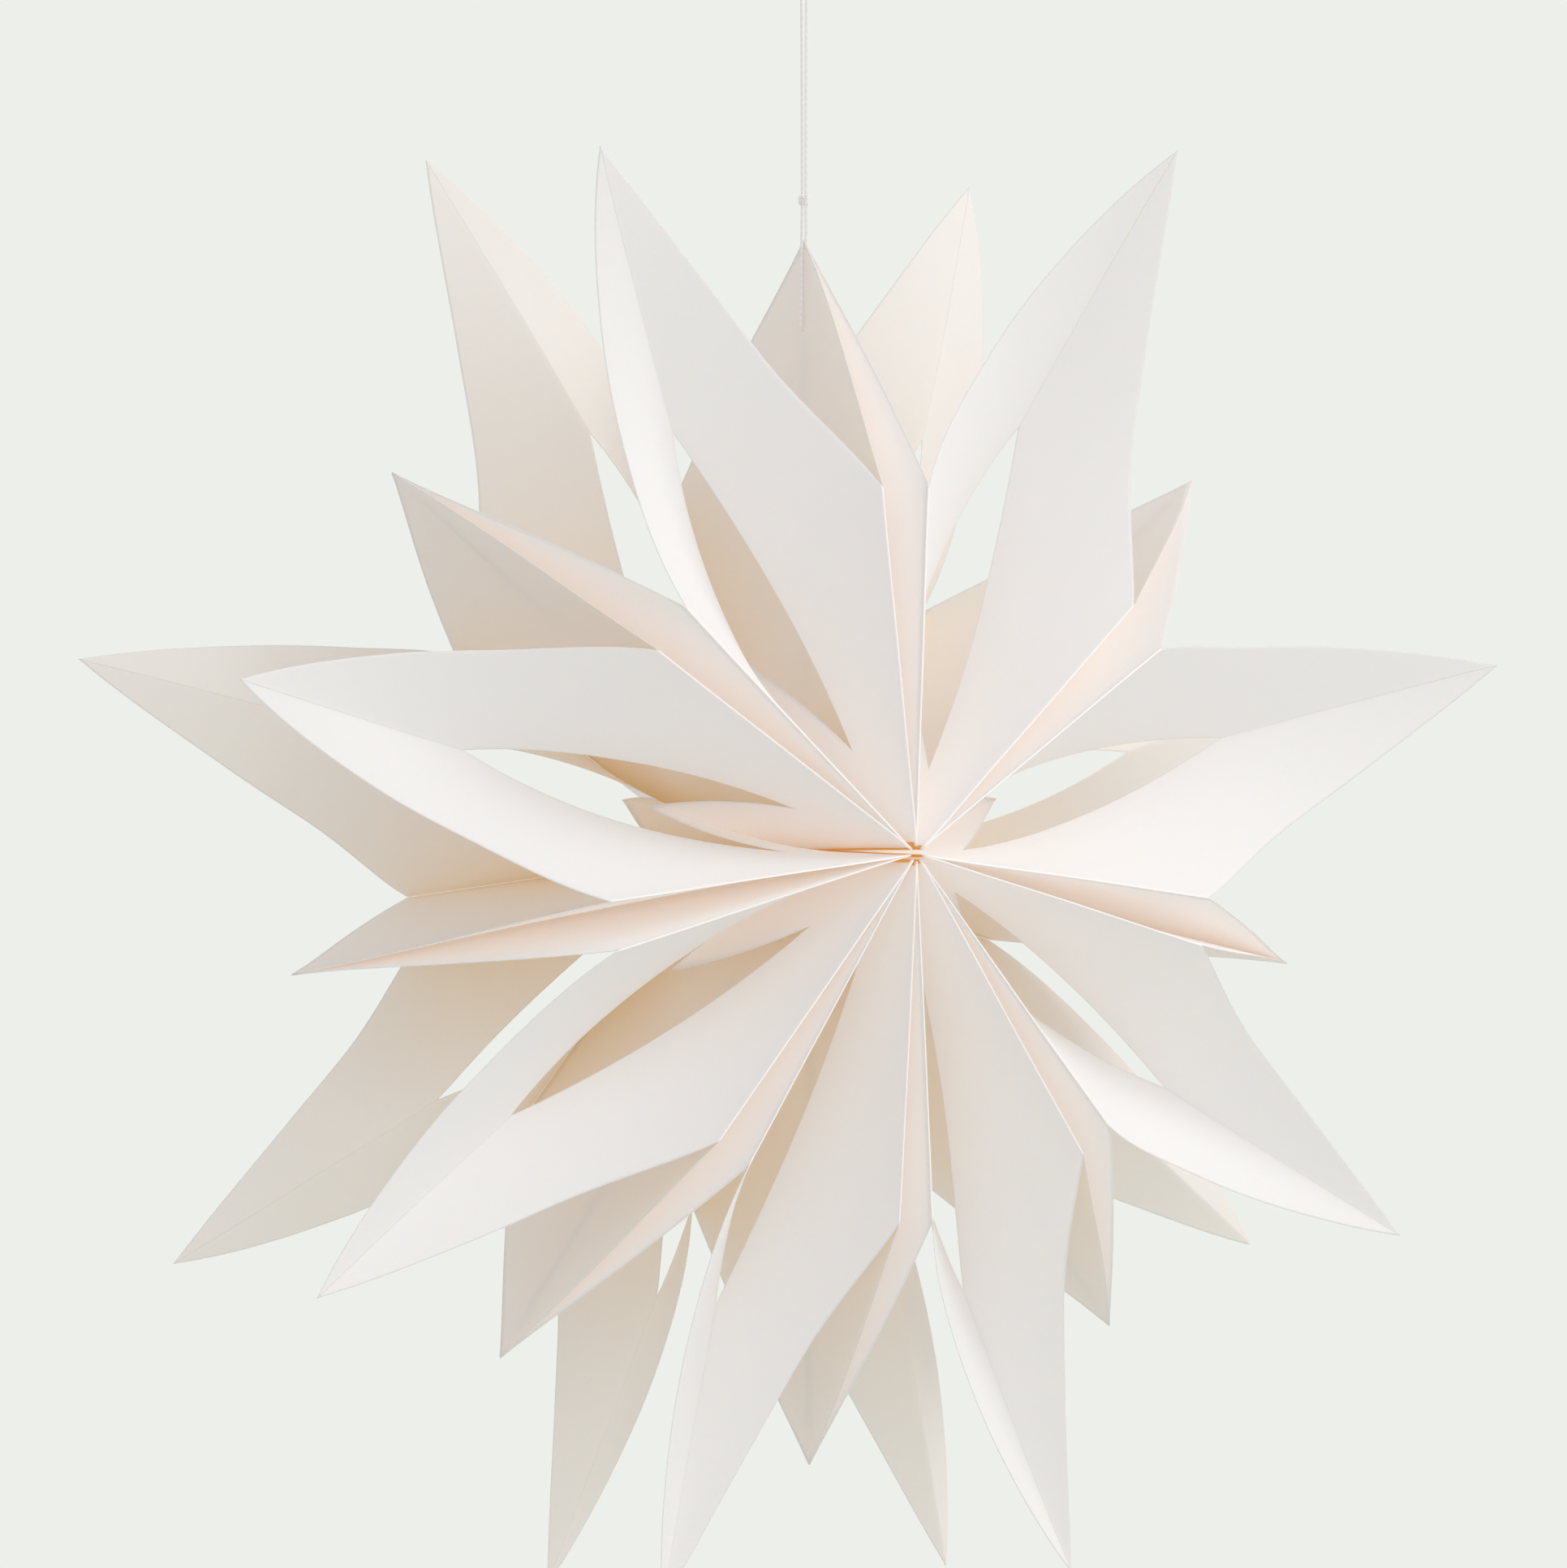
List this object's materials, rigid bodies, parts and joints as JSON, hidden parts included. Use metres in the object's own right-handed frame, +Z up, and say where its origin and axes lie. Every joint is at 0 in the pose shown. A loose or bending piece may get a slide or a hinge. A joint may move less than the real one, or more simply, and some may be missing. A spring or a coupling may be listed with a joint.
{
  "type": "paper snowflake star",
  "caption": "Hanging paper star of gusseted paper bags glued in a ring, with pointed cut-outs and open pointed mouths, on a knotted cord.",
  "frame": {"origin": "the point where a hook carries the cord's loop", "axes": "+Z up along the cord, -Y out of the star's front, +X to the right seen from the front"},
  "size_m": [0.5857, 0.1526, 0.6431],
  "materials": {
    "panel_paper": "matt",
    "gusset_paper": "matt",
    "adhesive": "matt",
    "tape": "satin",
    "cord": "matt"
  },
  "bodies": {
    "cord": {"hanging_cord": "cord"},
    "seam_right": {"cord_knot": "cord", "thread_loop": "cord", "closing_tape": "tape", "bag_1_right_panel": "panel_paper", "bag_1_front_gusset": "gusset_paper", "bag_1_back_gusset": "gusset_paper"},
    "pair_1_2": {"bag_1_left_panel": "panel_paper", "glue_strip_1_2": "adhesive", "bag_2_right_panel": "panel_paper", "bag_2_front_gusset": "gusset_paper", "bag_2_back_gusset": "gusset_paper"},
    "pair_2_3": {"bag_2_left_panel": "panel_paper", "glue_strip_2_3": "adhesive", "bag_3_right_panel": "panel_paper", "bag_3_front_gusset": "gusset_paper", "bag_3_back_gusset": "gusset_paper"},
    "pair_3_4": {"bag_3_left_panel": "panel_paper", "glue_strip_3_4": "adhesive", "bag_4_right_panel": "panel_paper", "bag_4_front_gusset": "gusset_paper", "bag_4_back_gusset": "gusset_paper"},
    "pair_4_5": {"bag_4_left_panel": "panel_paper", "glue_strip_4_5": "adhesive", "bag_5_right_panel": "panel_paper", "bag_5_front_gusset": "gusset_paper", "bag_5_back_gusset": "gusset_paper"},
    "pair_5_6": {"bag_5_left_panel": "panel_paper", "glue_strip_5_6": "adhesive", "bag_6_right_panel": "panel_paper", "bag_6_front_gusset": "gusset_paper", "bag_6_back_gusset": "gusset_paper"},
    "pair_6_7": {"bag_6_left_panel": "panel_paper", "glue_strip_6_7": "adhesive", "bag_7_right_panel": "panel_paper", "bag_7_front_gusset": "gusset_paper", "bag_7_back_gusset": "gusset_paper"},
    "pair_7_8": {"bag_7_left_panel": "panel_paper", "glue_strip_7_8": "adhesive", "bag_8_right_panel": "panel_paper", "bag_8_front_gusset": "gusset_paper", "bag_8_back_gusset": "gusset_paper"},
    "seam_left": {"bag_8_left_panel": "panel_paper"}
  },
  "joints": [
    {"name": "hang_swivel", "type": "hinge", "parent": "cord", "child": "seam_right", "pos_m": [0, 0, 0], "axis": [0, 0, 1], "continuous": true},
    {"name": "bag_1_fold", "type": "hinge", "parent": "seam_right", "child": "pair_1_2", "pos_m": [0.00324, 0, -0.355], "axis": [0, 1, 0], "range_deg": [0, 39.98], "deforming": ["bag_1_front_gusset", "bag_1_back_gusset"]},
    {"name": "bag_2_fold", "type": "hinge", "parent": "pair_1_2", "child": "pair_2_3", "pos_m": [0.00324, 0, -0.355], "axis": [0, 1, 0], "range_deg": [0, 37.56], "deforming": ["bag_2_front_gusset", "bag_2_back_gusset"]},
    {"name": "bag_3_fold", "type": "hinge", "parent": "pair_2_3", "child": "pair_3_4", "pos_m": [0.00324, 0, -0.355], "axis": [0, 1, 0], "range_deg": [0, 32.96], "deforming": ["bag_3_front_gusset", "bag_3_back_gusset"]},
    {"name": "bag_4_fold", "type": "hinge", "parent": "pair_3_4", "child": "pair_4_5", "pos_m": [0.00324, 0, -0.355], "axis": [0, 1, 0], "range_deg": [0, 27.82], "deforming": ["bag_4_front_gusset", "bag_4_back_gusset"]},
    {"name": "bag_5_fold", "type": "hinge", "parent": "pair_4_5", "child": "pair_5_6", "pos_m": [0.00324, 0, -0.355], "axis": [0, 1, 0], "range_deg": [0, 28.72], "deforming": ["bag_5_front_gusset", "bag_5_back_gusset"]},
    {"name": "bag_6_fold", "type": "hinge", "parent": "pair_5_6", "child": "pair_6_7", "pos_m": [0.00324, 0, -0.355], "axis": [0, 1, 0], "range_deg": [0, 32.11], "deforming": ["bag_6_front_gusset", "bag_6_back_gusset"]},
    {"name": "bag_7_fold", "type": "hinge", "parent": "pair_6_7", "child": "pair_7_8", "pos_m": [0.00324, 0, -0.355], "axis": [0, 1, 0], "range_deg": [0, 39.32], "deforming": ["bag_7_front_gusset", "bag_7_back_gusset"]},
    {"name": "bag_8_fold", "type": "hinge", "parent": "pair_7_8", "child": "seam_left", "pos_m": [0.00324, 0, -0.355], "axis": [0, 1, 0], "range_deg": [0, 42.49], "deforming": ["bag_8_front_gusset", "bag_8_back_gusset", "thread_loop"]}
  ],
  "couplings": [
    {"joint": "bag_2_fold", "follows": "bag_1_fold", "ratio": 0.93937},
    {"joint": "bag_3_fold", "follows": "bag_1_fold", "ratio": 0.82431},
    {"joint": "bag_4_fold", "follows": "bag_1_fold", "ratio": 0.69575},
    {"joint": "bag_5_fold", "follows": "bag_1_fold", "ratio": 0.71826},
    {"joint": "bag_6_fold", "follows": "bag_1_fold", "ratio": 0.80305},
    {"joint": "bag_7_fold", "follows": "bag_1_fold", "ratio": 0.98339},
    {"joint": "bag_8_fold", "follows": "bag_1_fold", "ratio": 1.0627}
  ]
}
